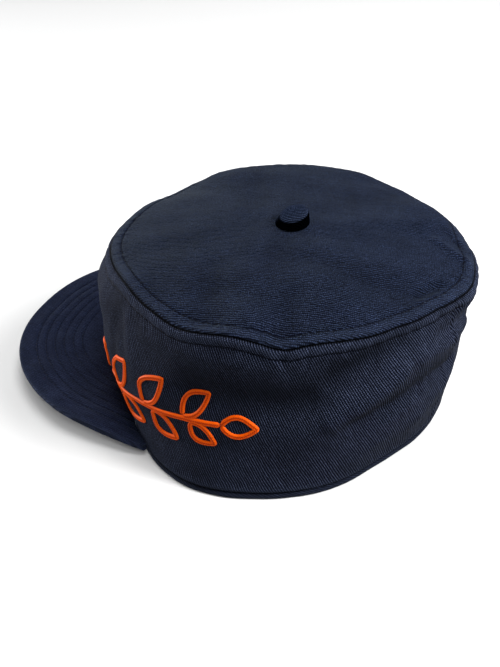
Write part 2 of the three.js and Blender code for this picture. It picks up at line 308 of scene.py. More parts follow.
def side_radius(deg, z):
    """The side band's outer radius with the cloth's own unevenness."""
    top = seam_height(deg)
    down = top - z
    fade = smooth(down / 10) * smooth((z - HEM_HEIGHT) / 8)
    uneven = swell(deg, z, 3, 16, 42, 0.28) + swell(deg, z, 4, 7, 15, 0.07)
    back = np.radians(turn(BACK_SEAM, deg)) * MEAN_RADIUS
    joined = 0.35 * bell(np.abs(back) - 1.6, 1.3) - 0.55 * bell(back, 0.7)
    hem = 0.35 * bell(z - HEM_HEIGHT - 2.4, 1.8) - 0.5 * bell(z - HEM_HEIGHT, 1.2)
    return (
        plain_radius(deg, z) + uneven * fade + puckers(deg, down, 11, 0.16)
        + joined * smooth(down / 3) + hem
    )


def crown_point(deg, radius, z):
    """Points of the crown at an angle, radius and height, which leans back with the height."""
    back = LEAN * z / SEAM_LEVEL
    turned = np.radians(deg)
    return np.stack([radius * np.sin(turned), AXIS_Y + back - radius * np.cos(turned), z + 0 * radius], -1)


def creases(deg, radius, rim):
    """How far the creases push the disc up."""
    total = 0.0
    x, y = radius * np.sin(np.radians(deg)), radius * np.cos(np.radians(deg))
    for from_deg, from_r, to_deg, to_r, up, width in CREASES:
        from_turn, to_turn = math.radians(from_deg), math.radians(to_deg)
        start = (from_r * math.sin(from_turn), from_r * math.cos(from_turn))
        along = (to_r * math.sin(to_turn) - start[0], to_r * math.cos(to_turn) - start[1])
        t = np.clip(((x - start[0]) * along[0] + (y - start[1]) * along[1]) / (along[0] ** 2 + along[1] ** 2), 0, 1)
        away = np.hypot(x - start[0] - t * along[0], y - start[1] - t * along[1])
        total = total + up * bell(away, width)
    return total * np.clip((rim - radius) / CREASE_STOP, 0, 1)


def disc_height(deg, radius, rim):
    """The disc's upper surface at an angle and radius."""
    share = radius / rim
    inset = rim - radius
    tilt = around("height", deg) - SEAM_LEVEL
    x, y = radius * np.sin(np.radians(deg)), radius * np.cos(np.radians(deg))
    uneven = flat_swell(x, y, 5, 14, 40, 0.24) + flat_swell(x, y, 6, 6, 13, 0.05)
    at = np.asarray(deg) % 360
    far = smooth((at - ROLLED_FROM) / ROLLED_SOFT) * smooth((ROLLED_TO - at) / ROLLED_SOFT)
    rolled = ROLLED_RISE * far * smooth(inset / ROLLED_WIDTH) * bell(np.maximum(0, inset - ROLLED_WIDTH), ROLLED_FADE)
    return (
        SEAM_LEVEL + tilt * share + wave_rise(deg) * share ** WAVES_INWARD_POWER
        + DOME * (1 - share ** DOME_POWER) + seam_relief(inset, DISC_PUFF) + creases(deg, radius, rim)
        + rolled + uneven * smooth(inset / 9) + puckers(deg, inset, 12, 0.16) * smooth(inset)
    )


def flat_swell(x, y, seed, least, most, size):
    """Soft unevenness of flat cloth: a sum of waves of given wavelengths."""
    draw = np.random.default_rng(seed)
    total = 0.0
    for _ in range(14):
        wave = 2 * math.pi / draw.uniform(least, most)
        heading = draw.uniform(0, math.pi)
        total = total + np.cos(wave * (x * math.cos(heading) + y * math.sin(heading)) + draw.uniform(0, 6.3))
    return size * total / math.sqrt(14)


def peak_seat(deg, out=0.0):
    """Where the peak meets the side band."""
    half = PEAK_THICKNESS / 2
    clear = np.maximum(plain_radius(deg, PEAK_SEAT_Z - half), plain_radius(deg, PEAK_SEAT_Z + half)) + GAP
    return crown_point(deg, clear + out, PEAK_SEAT_Z + 0 * clear)


def peak_rim(t):
    """The peak's rim, from -1 at the wearer's right end to 1 at the left one."""
    u = np.radians(90 * t)
    bend = 2 / PEAK_POWER
    plan = np.stack([
        PEAK_HALF_WIDTH * np.sign(u) * np.abs(np.sin(u)) ** bend,
        AXIS_Y + PEAK_BACK_Y + (PEAK_TIP_Y - PEAK_BACK_Y) * np.abs(np.cos(u)) ** bend,
        PEAK_SIDE_Z + (PEAK_TIP_Z - PEAK_SIDE_Z) * np.cos(u) ** 2,
    ], -1)
    end = smooth((np.abs(t) - PEAK_END_FROM) / (1 - PEAK_END_FROM))[..., None]
    corner = peak_seat(np.where(t < 0, -1, 1) * PEAK_END_DEG, PEAK_END_OUT)
    return plan + (corner - plan) * end


def new_object(name, points, faces, uv=None, wear=None, painted_shade=None, fade=None):
    """A mesh object from points in mm, with cloth coordinates in mm. wear is 1 on rubbed places,
    the painted shade is 1 in seam crevices, stitch grooves and other places where shade is painted, and fade is
    painted light and shade, how much paler or darker the cloth is made, a value for each point."""
    mesh = bpy.data.meshes.new(name)
    faces = np.asarray(faces)
    points = np.asarray(points, float)
    a, b, c = (points[faces[:, k]] for k in range(3))
    volume = np.einsum("ij,ij->i", a, np.cross(b, c)).sum()
    if faces.shape[1] == 4:
        d = points[faces[:, 3]]
        volume += np.einsum("ij,ij->i", a, np.cross(c, d)).sum()
    if volume < 0:
        faces = faces[:, ::-1]
        if uv is not None:
            uv = uv[:, ::-1]
    size = faces.shape[1]
    mesh.vertices.add(len(points))
    mesh.vertices.foreach_set("co", (points * MM).ravel())
    mesh.loops.add(faces.size)
    mesh.loops.foreach_set("vertex_index", faces.ravel())
    mesh.polygons.add(len(faces))
    mesh.polygons.foreach_set("loop_start", np.arange(0, faces.size, size))
    mesh.polygons.foreach_set("loop_total", np.full(len(faces), size))
    mesh.polygons.foreach_set("use_smooth", np.ones(len(faces), bool))
    if uv is not None:
        layer = mesh.uv_layers.new(name="cloth")
        layer.uv.foreach_set("vector", np.asarray(uv, np.float32).ravel())
    for key, values in (("wear", wear), ("painted_shade", painted_shade), ("fade", fade)):
        if values is not None:
            layer = mesh.attributes.new(key, "FLOAT", "POINT")
            layer.data.foreach_set("value", np.asarray(values, np.float32).ravel())
    mesh.update(calc_edges=True)
    mesh.validate()
    made = bpy.data.objects.new(name, mesh)
    bpy.context.scene.collection.objects.link(made)
    return made


def ring_faces(rows, columns):
    """Quads of a grid that closes in both directions."""
    i, j = np.meshgrid(np.arange(rows), np.arange(columns), indexing="ij")
    k, m = (i + 1) % rows, (j + 1) % columns
    return np.stack([i * columns + j, k * columns + j, k * columns + m, i * columns + m], -1).reshape(-1, 4)


def capped_grid(points):
    """Points and quads of a grid of rings, with its first and last ring closed by quads round a middle point."""
    rows, columns = points.shape[:2]
    i, j = np.meshgrid(np.arange(rows - 1), np.arange(columns), indexing="ij")
    m = (j + 1) % columns
    quads = np.stack([i * columns + j, (i + 1) * columns + j, (i + 1) * columns + m, i * columns + m], -1)
    flat = points.reshape(-1, 3)
    faces = [quads.reshape(-1, 4)]
    ring = np.arange(columns)
    for first, back in ((0, False), ((rows - 1) * columns, True)):
        middle = len(flat)
        flat = np.concatenate([flat, [flat[first:first + columns].mean(0)]])
        pair = np.stack([first + ring, first + (ring + 1) % columns], -1)
        fan = np.stack([np.full(columns // 2, middle), pair[0::2, 0], pair[0::2, 1], pair[1::2, 1]], -1)
        faces.append(fan[:, ::-1] if back else fan)
    return flat, np.concatenate(faces)


def ring_uv(u, v):
    """Corner coordinates for ring_faces, from one column of u more than the grid has, and v the same."""
    rows = u.shape[0]
    i, j = np.meshgrid(np.arange(rows), np.arange(u.shape[1] - 1), indexing="ij")
    k = (i + 1) % rows
    corners = [(i, j), (k, j), (k, j + 1), (i, j + 1)]
    return np.stack([np.stack([u[a, b], v[a, b]], -1) for a, b in corners], 2).reshape(-1, 4, 2)


def finish_piece(made, node, material):
    """Puts a piece on the cap's body, in place of its plain solid, with its material."""
    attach(made, "root")
    if node:
        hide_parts(node)
    made.data.materials.append(material)
    return made


# Materials

class Tree:
    """A material's nodes, made one call at a time."""

    def __init__(self, name):
        self.material = bpy.data.materials.new(name)
        self.material.use_nodes = True
        self.nodes = self.material.node_tree.nodes
        self.links = self.material.node_tree.links
        self.nodes.clear()

    def add(self, kind, inputs=(), **settings):
        node = self.nodes.new(kind)
        for key, value in settings.items():
            setattr(node, key, value)
        for key, value in dict(inputs).items():
            if isinstance(value, bpy.types.NodeSocket):
                self.links.new(value, node.inputs[key])
            else:
                node.inputs[key].default_value = value
        return node

    def math(self, operation, *values, clamp=False):
        node = self.add("ShaderNodeMath", enumerate(values), operation=operation, use_clamp=clamp)
        return node.outputs[0]

    def mix(self, factor, first, second, blend="MIX"):
        node = self.add("ShaderNodeMix", data_type="RGBA", blend_type=blend)
        for key, value in ((0, factor), (6, first), (7, second)):
            if isinstance(value, bpy.types.NodeSocket):
                self.links.new(value, node.inputs[key])
            else:
                node.inputs[key].default_value = value
        return node.outputs[2]

    def noise(self, vector, scale, detail=2.0, roughness=0.5):
        inputs = {"Vector": vector, "Scale": scale, "Detail": detail, "Roughness": roughness}
        return self.add("ShaderNodeTexNoise", inputs).outputs[0]


WALE_PITCH = 1.12  # between the ridges of the twill
YARN_LENGTH = 0.8  # of one float of a yarn along a ridge
WORN = (0.026, 0.034, 0.058, 1)  # the colour of rubbed cloth


def twill(name, heading, ridge, groove, relief=0.22, sheen=0.035, worn=0.4, sharp=1.7, jitter=0.0, grainy=4.0,
          gloss=0.025):
    """Cotton twill. heading is the direction across the ridges, in degrees from the cloth's u. ridge and
    groove are colours, sharp narrows the ridges, jitter bends them and grainy speckles them."""
    tree = Tree(name)
    cloth = tree.add("ShaderNodeUVMap", uv_map="cloth").outputs[0]
    turned = math.radians(heading)
    across = (math.cos(turned) / WALE_PITCH, math.sin(turned) / WALE_PITCH, 0)
    along = (-math.sin(turned) / YARN_LENGTH, math.cos(turned) / YARN_LENGTH, 0)
    bend = tree.noise(cloth, 0.035, 3.0)
    straight = tree.add("ShaderNodeVectorMath", {0: cloth, 1: across}, operation="DOT_PRODUCT").outputs[1]
    phase = tree.math("MULTIPLY_ADD", bend, 1.6, straight)
    phase = tree.math("MULTIPLY_ADD", tree.noise(cloth, 0.45, 2.0), jitter, phase)
    wale = tree.math("ABSOLUTE", tree.math("SINE", tree.math("MULTIPLY", phase, math.pi)))
    number = tree.math("FLOOR", phase)
    chance = tree.add("ShaderNodeTexWhiteNoise", {"W": number}, noise_dimensions="1D").outputs[0]
    run = tree.add("ShaderNodeVectorMath", {0: cloth, 1: along}, operation="DOT_PRODUCT").outputs[1]
    step = tree.math("MULTIPLY", tree.math("ADD", run, chance), math.pi)
    yarn = tree.math("ABSOLUTE", tree.math("SINE", step))
    height = tree.math("MULTIPLY", wale, tree.math("MULTIPLY_ADD", yarn, 0.3, 0.7))

    # Each yarn takes the dye a little differently, in streaks along the ridges, and lint dulls it in places.
    streaked = tree.add("ShaderNodeCombineXYZ", {0: phase, 1: tree.math("MULTIPLY", run, 0.12)}).outputs[0]
    streaks = tree.noise(streaked, 1.0, 2.0)
    clouds = tree.noise(cloth, 0.06, 4.0, 0.65)
    grain = tree.noise(cloth, 1.3, 3.0, 0.8)
    tone = tree.math("MULTIPLY_ADD", streaks, 1.3, 0.35)
    tone = tree.math("MULTIPLY", tone, tree.math("MULTIPLY_ADD", clouds, 0.9, 0.55))
    tone = tree.math("MULTIPLY", tone, tree.math("MULTIPLY_ADD", grain, grainy, 1 - grainy / 2))
    # Painted light and shade: the fade attribute makes the colour paler or darker at each point.
    fade = tree.add("ShaderNodeAttribute", attribute_name="fade").outputs["Fac"]
    level = tree.math("MULTIPLY", tree.math("MAXIMUM", tone, 0.1), tree.math("ADD", fade, 1.0))
    shades = tree.add("ShaderNodeCombineXYZ", {0: level, 1: level, 2: level}).outputs[0]
    # The ridges are paler and the grooves near black: partly the weave's own tone, partly painted light and shade.
    lit = tree.math("POWER", height, sharp)
    colour = tree.mix(1.0, tree.mix(lit, groove, ridge), shades, "MULTIPLY")
    wear = tree.add("ShaderNodeAttribute", attribute_name="wear").outputs["Fac"]
    patchy = tree.math("MULTIPLY", grain, 1.2)
    rubbed = tree.math("MULTIPLY", tree.math("MULTIPLY", wear, worn), patchy, clamp=True)
    colour = tree.mix(rubbed, colour, WORN)
    # Painted shade: the colour goes towards black where shade is painted into crevices and grooves.
    painted_shade = tree.add("ShaderNodeAttribute", attribute_name="painted_shade").outputs["Fac"]
    colour = tree.mix(tree.math("MINIMUM", painted_shade, 0.98), colour, (0, 0, 0, 1))

    fibres = tree.noise(cloth, 6.0, 3.0, 0.7)
    surface = tree.math("MULTIPLY_ADD", fibres, 0.25, height)
    bump = tree.add("ShaderNodeBump", {"Strength": 1.0, "Distance": relief * MM, "Height": surface}).outputs[0]
    shader = tree.add("ShaderNodeBsdfPrincipled", {
        "Base Color": colour, "Normal": bump,
        "Roughness": tree.math("MULTIPLY_ADD", height, -0.08, 0.92),
        "Specular IOR Level": gloss, "Sheen Weight": sheen, "Sheen Roughness": 0.3,
        "Sheen Tint": (0.7, 0.86, 1.0, 1),
    })
    output = tree.add("ShaderNodeOutputMaterial")
    tree.links.new(shader.outputs[0], output.inputs[0])
    return tree.material


def thread(name, colour, core, shine=0.3, rough=0.6, sheen=0.2):
    """Sewing thread: plied, with a soft gloss. core is the painted shade colour where it dips."""
    tree = Tree(name)
    here = tree.add("ShaderNodeNewGeometry").outputs["Position"]
    twist = tree.noise(here, 2500.0, 2.0)
    tone = tree.math("MULTIPLY_ADD", twist, 0.9, 0.55)
    shade = tree.add("ShaderNodeCombineXYZ", {0: tone, 1: tone, 2: tone}).outputs[0]
    bump = tree.add("ShaderNodeBump", {"Strength": 0.6, "Distance": 0.1 * MM, "Height": twist}).outputs[0]
    # Painted shade: the colour turns to core where the threads dip.
    dip = tree.add("ShaderNodeAttribute", attribute_name="painted_shade").outputs["Fac"]
    shader = tree.add("ShaderNodeBsdfPrincipled", {
        "Base Color": tree.mix(1.0, tree.mix(dip, colour, core), shade, "MULTIPLY"), "Normal": bump,
        "Roughness": tree.math("MULTIPLY_ADD", twist, 0.2, rough - 0.1),
        "Specular IOR Level": shine, "Sheen Weight": sheen,
    })
    output = tree.add("ShaderNodeOutputMaterial")
    tree.links.new(shader.outputs[0], output.inputs[0])
    return tree.material


# The side band, disc, peak and button are one navy twill; their colours are set apart as painted light and shade, for
# how much light each piece gets.
SIDE_TWILL = twill(
    "side twill", 27, (0.0315, 0.0385, 0.0640, 1), (0.0007, 0.0012, 0.0040, 1), relief=0.3, sheen=0.0, sharp=4.5,
    jitter=0.35, grainy=4.5,
)
DISC_TWILL = twill(
    "disc twill", 8, (0.0165, 0.0240, 0.0485, 1), (0.0003, 0.0007, 0.0028, 1), relief=0.28, sharp=4.0, jitter=1.2,
    grainy=6.5,
)
PEAK_TWILL = twill("peak twill", 172, (0.0120, 0.0165, 0.0380, 1), (0.0040, 0.0056, 0.0130, 1))
BAND_TWILL = twill("band twill", 62, (0.0090, 0.0112, 0.0215, 1), (0.0004, 0.0006, 0.0015, 1))
BUTTON_TWILL = twill(
    "button twill", -10, (0.0300, 0.0430, 0.0850, 1), (0.0001, 0.0002, 0.0006, 1), relief=0.4, sheen=0.0, sharp=5.0,
    gloss=0.0,
)
# Painted shade: the crown's stitch thread is navy made nearly black, for the grooves it lies in.
NAVY = (0.0012, 0.0017, 0.0050, 1)
NAVY_THREAD = thread("navy thread", NAVY, NAVY, shine=0.03, sheen=0.0)
PEAK_NAVY = (0.0030, 0.0044, 0.0115, 1)
PEAK_THREAD = thread("peak thread", PEAK_NAVY, PEAK_NAVY, shine=0.03, sheen=0.0)
# The darker second colour is painted shade for the dip along each line's middle.
ORANGE_THREAD = thread(
    "orange thread", (0.49, 0.057, 0.0009, 1), (0.26, 0.013, 0.0005, 1), shine=0.04, rough=0.5, sheen=0.0,
)


# Cloth pieces

SIDE_COLUMNS = 432
DISC_COLUMNS = 432
DISC_ROWS = 116


def spaced(low, high, count, *crowded):
    """Values from low to high that lie closer together near the crowded places: (place, width, share)."""
    fine = np.linspace(low, high, 4000)
    density = 1 + sum(more * bell(fine - at, width) for at, width, more in crowded)
    steps = np.concatenate([[0], np.cumsum((density[1:] + density[:-1]) / 2)])
    return np.interp(np.linspace(0, steps[-1], count), steps, fine)


def make_side():
    """The side band, from the hem up its outer face and down inside."""
    deg = BACK_SEAM + np.arange(SIDE_COLUMNS + 1) * 360 / SIDE_COLUMNS
    top = seam_height(deg)
    edge = top - SEAM_TUCK
    share = spaced(0, 1, 128, (1.0, 0.012, 12.0), (0.938, 0.012, 5.0), (0.94, 0.03, 2.0), (0.03, 0.04, 2.0))
    z = HEM_HEIGHT + (edge - HEM_HEIGHT)[None, :] * share[:, None]
    radius = side_radius(deg[None, :], z)
    under = np.linspace(1, 0, 30)
    z_in = HEM_HEIGHT + (edge - HEM_HEIGHT)[None, :] * under[:, None]
    radius_in = plain_radius(deg[None, :], z_in) - CLOTH
    from_hem = share[:, None] * BAND_RISE
    from_edge = (1 - share)[:, None] * BAND_RISE
    rounded = SEAM_ROUNDING * bell(from_edge, 0.8) + HEM_ROUNDING * bell(from_hem, 0.5)
    rows_z = np.concatenate([z, z_in])
    rows_r = np.concatenate([radius - rounded, radius_in])
    points = crown_point(deg[None, :], rows_r, rows_z)
    u = np.radians(deg)[None, :] * MEAN_RADIUS + 0 * rows_z
    v = np.concatenate([z, z_in + 200])
    down = top[None, :] - rows_z
    outside = np.concatenate([np.ones(len(share)), np.zeros(len(under))])[:, None]
    wear = outside * (0.55 * bell(down - 3.0, 1.4) + 0.5 * bell(rows_z - HEM_HEIGHT - 1.8, 1.4))
    back = np.radians(turn(BACK_SEAM, deg))[None, :] * MEAN_RADIUS
    # Painted shade in the seam crevice, the stitch groove, the hem groove and the back seam.
    painted_shade = outside * (
        0.95 * bell(down - SEAM_TUCK, 0.4) + 0.55 * bell(down - STITCH_INSET, 0.45)
        + 0.8 * bell(rows_z - HEM_HEIGHT, 0.9) + 0.25 * bell(back, 0.5)
    )
    # Painted light and shade of the folds, taken a little lower down so that each fold's upper side is the paler one.
    fade = painted_fold_shading(folds(deg[None, :], rows_z - SIDE_PAINTED_SHADING_RISE), SIDE_PAINTED_SHADING)
    # Painted light on the strip between the seam and its stitches.
    fade = outside * (fade + SHOULDER_PAINTED_LIGHT * bell(down - STITCH_INSET / 2, STITCH_INSET / 2))
    made = new_object(
        "side_band_cloth", points[:, :-1].reshape(-1, 3), ring_faces(len(rows_z), SIDE_COLUMNS),
        ring_uv(u, v), wear[:, :-1], painted_shade[:, :-1], fade[:, :-1],
    )
    return finish_piece(made, "crown_side", SIDE_TWILL)


def make_disc():
    """The disc, from its middle out to the seam and back under itself."""
    deg = np.arange(DISC_COLUMNS) * 360 / DISC_COLUMNS
    rim = plain_radius(deg, seam_height(deg))
    share = spaced(0.004, 1, DISC_ROWS, (1.0, 0.012, 12.0), (0.938, 0.012, 5.0), (0.94, 0.03, 2.0))
    radius = (rim - DISC_TUCK)[None, :] * share[:, None]
    z = disc_height(deg[None, :], radius, rim[None, :]) + GAP / 2
    z = z - DISC_ROUNDING * bell((1 - share)[:, None] * rim.mean(), 0.6)
    under = np.linspace(1 - (CLOTH + 0.6) / rim.mean(), 0.004, 24)
    radius_in = rim[None, :] * under[:, None]
    z_in = disc_height(deg[None, :], radius_in, rim[None, :]) - CLOTH
    z_in[0] = np.minimum(z_in[0], z[-1] - 0.3)
    rows_r = np.concatenate([radius, radius_in])
    rows_z = np.concatenate([z, z_in])
    flat, faces = capped_grid(crown_point(deg[None, :], rows_r, rows_z))
    uv = flat[faces][:, :, :2] + 500
    inset = np.concatenate([(rim[None, :] - rows_r).ravel(), [90, 90]])  # the middle points come last
    wear = 0.55 * bell(inset - 2.6, 1.7)
    # Painted shade in the seam crevice and the stitch groove.
    painted_shade = 0.9 * bell(inset - DISC_TUCK, 0.3) + 0.5 * bell(inset - STITCH_INSET, 0.45)
    # Painted light and shade of the creases.
    fade = painted_fold_shading(creases(deg[None, :], rows_r, rim[None, :]), DISC_PAINTED_SHADING)
    # Painted light: paler towards one angle of the disc.
    fade = fade + DISC_PAINTED_LIGHT * rows_r / rim * np.cos(np.radians(deg - DISC_PAINTED_LIGHT_TOWARDS))
    fade = np.concatenate([fade.ravel(), [0, 0]])
    # Painted light on the strip between the disc's rim and its stitches.
    fade += SHOULDER_PAINTED_LIGHT / 2 * bell(inset - STITCH_INSET / 2, STITCH_INSET / 2)
    for values in (wear, painted_shade, fade):
        values[DISC_ROWS * DISC_COLUMNS:] = 0
    made = new_object("disc_cloth", flat, faces, uv, wear, painted_shade, fade)
    return finish_piece(made, "crown_top", DISC_TWILL)


def make_band():
    """The sweatband, with its rolled lower edge."""
    columns = 420
    deg = BACK_SEAM + np.arange(columns + 1) * 360 / columns
    hem = plain_radius(deg, HEM_HEIGHT)
    lining = [np.minimum(hem, plain_radius(deg, z)) - CLOTH - 3 * GAP for z in np.linspace(HEM_HEIGHT, BAND_HEIGHT, 8)]
    turned = np.radians(np.linspace(-90, 90, 15))
    half = ROLL_HEIGHT / 2
    uneven = swell(deg, 0 * deg, 21, 12, 40, 0.16)
    lip_r = [hem + ROLL_PROUD - 1.2 + 1.2 * math.cos(a) + uneven * math.cos(a) for a in turned]
    lip_z = [half + half * math.sin(a) for a in turned]
    heights = np.linspace(HEM_HEIGHT, BAND_HEIGHT, 8)
    rows_r = [hem + ROLL_PROUD - ROLL_WIDTH, *lip_r, *lining, *[r - BAND_THICKNESS for r in lining[:0:-1]]]
    rows_z = [0.0, *lip_z, *heights, *heights[:0:-1]]
    rows_r.append(hem + ROLL_PROUD - ROLL_WIDTH)
    rows_z.append(ROLL_HEIGHT)
    radius = np.stack([r + 0 * deg for r in rows_r])
    z = np.stack([value + 0 * deg for value in rows_z])
    points = crown_point(deg[None, :], radius, z)
    run = np.concatenate([[0], np.cumsum(np.hypot(np.diff(radius[:, 0]), np.diff(z[:, 0])))])
    u = np.radians(deg)[None, :] * MEAN_RADIUS + 0 * z
    v = run[:, None] + 0 * z
    wear = 0.6 * bell(run - ROLL_WIDTH - 1.0, 1.5)[:, None] + 0 * z
    made = new_object(
        "sweatband_cloth", points[:, :-1].reshape(-1, 3), ring_faces(len(rows_r), columns),
        ring_uv(u, v), wear[:, :-1],
    )
    return finish_piece(made, "sweatband", BAND_TWILL)


def make_button():
    """The covered button: a cloth dome drawn tight over a disc."""
    columns = 96
    turned = np.arange(columns) * 2 * math.pi / columns
    profile = np.array(BUTTON_PROFILE)
    fine = np.linspace(0, len(profile) - 1, 70)
    share = np.interp(fine, np.arange(len(profile)), profile[:, 0])
    height = np.interp(fine, np.arange(len(profile)), profile[:, 1])
    pleats = 0.10 * np.cos(17 * turned + 0.6) + 0.07 * np.cos(29 * turned + 2.0)
    side = bell(height - 2.6, 1.4) * smooth((share - 0.8) / 0.05)
    radius = BUTTON_RADIUS * share[:, None] + pleats[None, :] * side[:, None]
    middle = crown_point(0, np.array(0.0), np.array(CREST))
    x = radius * np.sin(turned)
    y = -radius * np.cos(turned)
    lifted = smooth(height / 4)[:, None]
    x, y = x + BUTTON_SHIFT[0] * lifted, y + BUTTON_SHIFT[1] * lifted
    z = height[:, None] + lifted * (BUTTON_SLANT[0] * x + BUTTON_SLANT[1] * y + BUTTON_RAISE) + GAP
    flat, faces = capped_grid(np.stack([middle[0] + x, middle[1] + BUTTON_BACK + y, middle[2] + z], -1))
    steps_out = np.diff(share, prepend=share[0]) * BUTTON_RADIUS
    spread = np.cumsum(np.hypot(steps_out, np.diff(height, prepend=height[0])))[:, None]
    uv = np.stack([spread * np.sin(turned), spread * np.cos(turned)], -1).reshape(-1, 2)
    uv = np.concatenate([uv, np.zeros((2, 2))]) + 300
    wear = np.concatenate([(0.5 * bell(height - 4.4, 0.8))[:, None].repeat(columns, 1).ravel(), [0, 0]])
    # Painted shade on the button's wall, darkest towards one angle.
    towards = np.cos(turned - math.radians(BUTTON_DARKER_TOWARDS))
    shaded = BUTTON_DARK + BUTTON_DARKER * smooth(1.5 * towards + 0.8)
    painted_shade = np.concatenate([(smooth((4.5 - height) / 0.7)[:, None] * shaded).ravel(), [0, 0]])
    made = new_object("button_cloth", flat, faces, uv[faces], wear, painted_shade)
    return finish_piece(made, "button", BUTTON_TWILL)


def peak_surface(t, share, lift_by):
    """Points of the peak between its seat and its rim, raised or lowered."""
    seat = peak_seat(PEAK_END_DEG * t)
    rim = peak_rim(t)
    at = seat + (rim - seat) * share[..., None]
    lift = PEAK_CROWNING * 4 * share * (1 - share) * (1 - t * t)
    at[..., 2] += lift + lift_by
    return at


def rim_distance(points):
    """The distance of points from the peak's rim, in plan."""
    rim = peak_rim(np.linspace(-1, 1, 500))[:, :2]
    start, step = rim[:-1], np.diff(rim, axis=0)
    best = np.full(len(points), 1e9)
    for low in range(0, len(points), 4000):
        part = points[low:low + 4000, None, :2] - start[None]
        t = np.clip((part * step).sum(-1) / (step * step).sum(-1), 0, 1)
        away = part - t[..., None] * step
        best[low:low + 4000] = np.hypot(away[..., 0], away[..., 1]).min(1)
    return best


def make_peak():
    """The peak: cloth over a stiff board, quilted by rows of stitches that follow its rim."""
    columns, across = 300, 96
    t = np.sin(np.linspace(-1, 1, columns) * math.pi / 2) * 0.35 + np.linspace(-1, 1, columns) * 0.65
    share = spaced(0, 0.985, across, (0.97, 0.06, 1.5))
    half = PEAK_THICKNESS / 2
    top = peak_surface(t[None, :], share[:, None] + 0 * t[None, :], half)
    distance = rim_distance(top.reshape(-1, 3)).reshape(across, columns)
    rows = PEAK_ROW_FIRST + PEAK_ROW_STEP * np.arange(PEAK_ROW_COUNT)
    quilt = -0.3 * sum(bell(distance - row, 0.8) for row in rows)
    inside = smooth((distance - rows[0]) / 2) * smooth((rows[-1] - distance) / 2)
    quilt = quilt + 0.12 * inside
    uneven = flat_swell(top[..., 0], top[..., 1], 31, 22, 60, 0.22)
    flatten = smooth(distance / 4)
    top[..., 2] += (quilt + uneven) * flatten
    bend = np.radians(np.linspace(80, -80, 13))
    edge = []
    for a in bend:
        out = 0.985 + 0.015 * math.cos(a)
        edge.append(peak_surface(t[None, :], out + 0 * t[None, :], half * math.sin(a))[0])
    bottom = peak_surface(t[None, :], share[::-1, None] + 0 * t[None, :], -half)
    below = rim_distance(bottom.reshape(-1, 3)).reshape(across, columns)
    bottom[..., 2] += 0.2 * sum(bell(below - row, 0.9) for row in rows) * smooth(below / 4)
    grid = np.concatenate([top, np.array(edge), bottom])
    rows_in_all = len(grid)
    i, j = np.meshgrid(np.arange(rows_in_all), np.arange(columns - 1), indexing="ij")
    k = (i + 1) % rows_in_all
    faces = np.stack([i * columns + j, k * columns + j, k * columns + j + 1, i * columns + j + 1], -1).reshape(-1, 4)
    flat = grid.reshape(-1, 3)
    # Each end is closed by a strip of quads between its upper and its lower side. The middle row of the
    # edge belongs to both.
    ends = []
    pairs = np.arange(rows_in_all // 2)
    for column, back in ((0, False), (columns - 1, True)):
        upper = pairs * columns + column
        lower = (rows_in_all - 1 - pairs) * columns + column
        strip = np.stack([upper[:-1], upper[1:], lower[1:], lower[:-1]], -1)
        ends.append(strip[:, ::-1] if back else strip)
    faces = np.concatenate([faces, *ends])
    uv_flat = flat[:, :2].copy() + 700
    uv_flat[:, 1] += 0.8 * (flat[:, 2] - flat[:, 2].mean())
    near_rim = np.concatenate([bell(distance - 0.6, 1.2), np.ones((len(edge), columns)), 0.5 * bell(below, 1.0)])
    wear = 0.55 * near_rim.ravel()
    # Painted shade in the quilting grooves.
    painted_shade = np.zeros((rows_in_all, columns))
    painted_shade[:across] = 0.16 * sum(bell(distance - row, 0.5) for row in rows)
    made = new_object("peak_cloth", flat, faces, uv_flat[faces], wear, painted_shade)
    finish_piece(made, "peak", PEAK_TWILL)
    return made


# Stitches

def stitch_row(path, normals, pitch=3.1, length=2.5, radius=0.3):
    """Separate stitches along a path on the cloth: each dives in at both ends."""
    steps = np.linalg.norm(np.diff(path, axis=0), axis=1)
    run = np.concatenate([[0], np.cumsum(steps)])
    count = int(run[-1] // pitch)
    sides, rings = 6, 7
    points, faces = [], []
    shape = np.linspace(-1, 1, rings)
    around_ring = np.arange(sides) * 2 * math.pi / sides
    for n in range(count):
        middle = (n + 0.5) * run[-1] / count
        at = middle + shape * length / 2
        spine = np.stack([np.interp(at, run, path[:, k]) for k in range(3)], -1)
        up = np.array([np.interp(middle, run, normals[:, k]) for k in range(3)])
        up /= np.linalg.norm(up)
        forward = spine[-1] - spine[0]
        forward /= np.linalg.norm(forward)
        sideways = np.cross(forward, up)
        girth = radius * np.sqrt(np.clip(1 - (shape * 0.96) ** 6, 0, 1))
        lift = 0.2 * (1 - np.abs(shape) ** 3) - 0.15
        base = len(points) * sides * rings
        centre = spine + up * lift[:, None]
        ring = (
            centre[:, None, :]
            + girth[:, None, None] * (
                np.cos(around_ring)[None, :, None] * sideways + np.sin(around_ring)[None, :, None] * up
            )
        )
        points.append(ring.reshape(-1, 3))
        i, j = np.meshgrid(np.arange(rings - 1), np.arange(sides), indexing="ij")
        m = (j + 1) % sides
        faces.append((np.stack([i * sides + j, (i + 1) * sides + j, (i + 1) * sides + m, i * sides + m], -1)
                      .reshape(-1, 4) + base))
        last = (rings - 1) * sides
        for first in (0, last):
            cap = np.array([[0, 1, 2, 3], [0, 3, 4, 5]]) + first
            faces.append((cap if first else cap[:, ::-1]) + base)
    return np.concatenate(points), np.concatenate(faces)


def joined_rows(name, rows, material):
    """One piece from several rows of stitches."""
    points, faces, base = [], [], 0
    for path, normals in rows:
        p, f = stitch_row(path, normals)
        points.append(p)
        faces.append(f + base)
        base += len(p)
    made = new_object(name, np.concatenate(points), np.concatenate(faces))
    return finish_piece(made, None, material)


